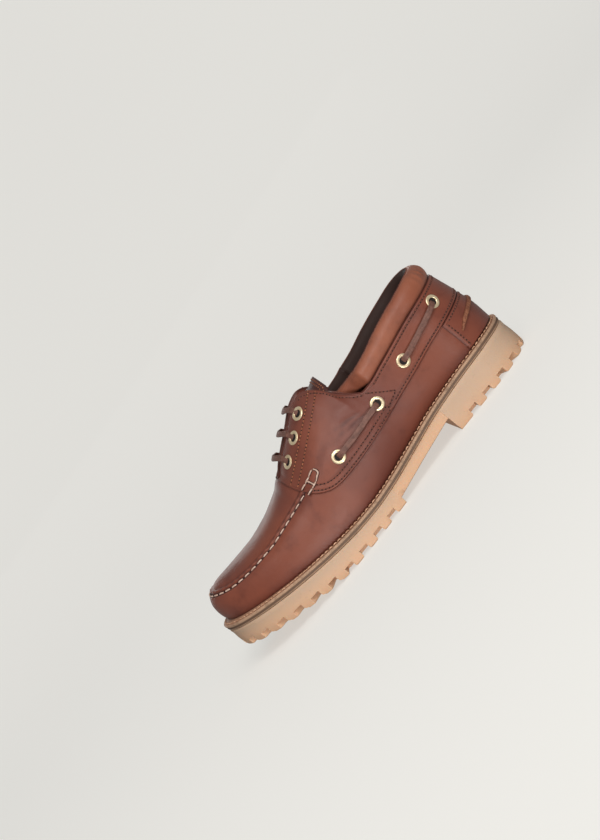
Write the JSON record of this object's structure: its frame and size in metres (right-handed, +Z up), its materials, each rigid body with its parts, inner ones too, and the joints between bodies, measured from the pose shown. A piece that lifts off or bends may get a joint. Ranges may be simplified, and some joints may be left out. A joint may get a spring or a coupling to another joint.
{
  "type": "boat shoe",
  "caption": "Left leather boat shoe with a hand-sewn moc toe, laced throat, padded collar and a lugged gum rubber sole.",
  "frame": {"origin": "centre of the shoe's footprint, on the floor under the sole", "axes": "+Z up, toe towards -Y, heel towards +Y, outer (lateral) side towards +X"},
  "size_m": [0.1102, 0.302, 0.1065],
  "materials": {
    "gum_rubber": "matt translucent gum",
    "midsole_leather": "stacked edge, waxed",
    "lining_leather": "matt charcoal",
    "upper_leather": "waxed pull-up, satin",
    "collar_leather": "soft padded, satin",
    "raw_leather": "cut edge, matt",
    "brass": "pale brass, satin",
    "lace_leather": "rawhide lace, matt"
  },
  "bodies": {
    "root": {"outsole": "gum_rubber", "midsole": "midsole_leather", "insole": "lining_leather", "upper": "upper_leather", "tongue": "upper_leather", "saddle_lateral": "upper_leather", "saddle_medial": "upper_leather", "quarter_band": "upper_leather", "counter": "upper_leather", "heel_tab": "raw_leather", "collar": "collar_leather", "eyelet_lateral_1": "brass", "eyelet_lateral_2": "brass", "eyelet_lateral_3": "brass", "side_eyelet_lateral_1": "brass", "side_eyelet_lateral_2": "brass", "side_eyelet_lateral_3": "brass", "side_eyelet_lateral_4": "brass", "eyelet_medial_1": "brass", "eyelet_medial_2": "brass", "eyelet_medial_3": "brass", "side_eyelet_medial_1": "brass", "side_eyelet_medial_2": "brass", "side_eyelet_medial_3": "brass", "side_eyelet_medial_4": "brass", "lace_bar_1": "lace_leather", "lace_bar_2": "lace_leather", "lace_bar_3": "lace_leather", "side_lace_lateral_front": "lace_leather", "side_lace_lateral_back": "lace_leather", "side_lace_medial_front": "lace_leather", "side_lace_medial_back": "lace_leather"}
  },
  "joints": []
}
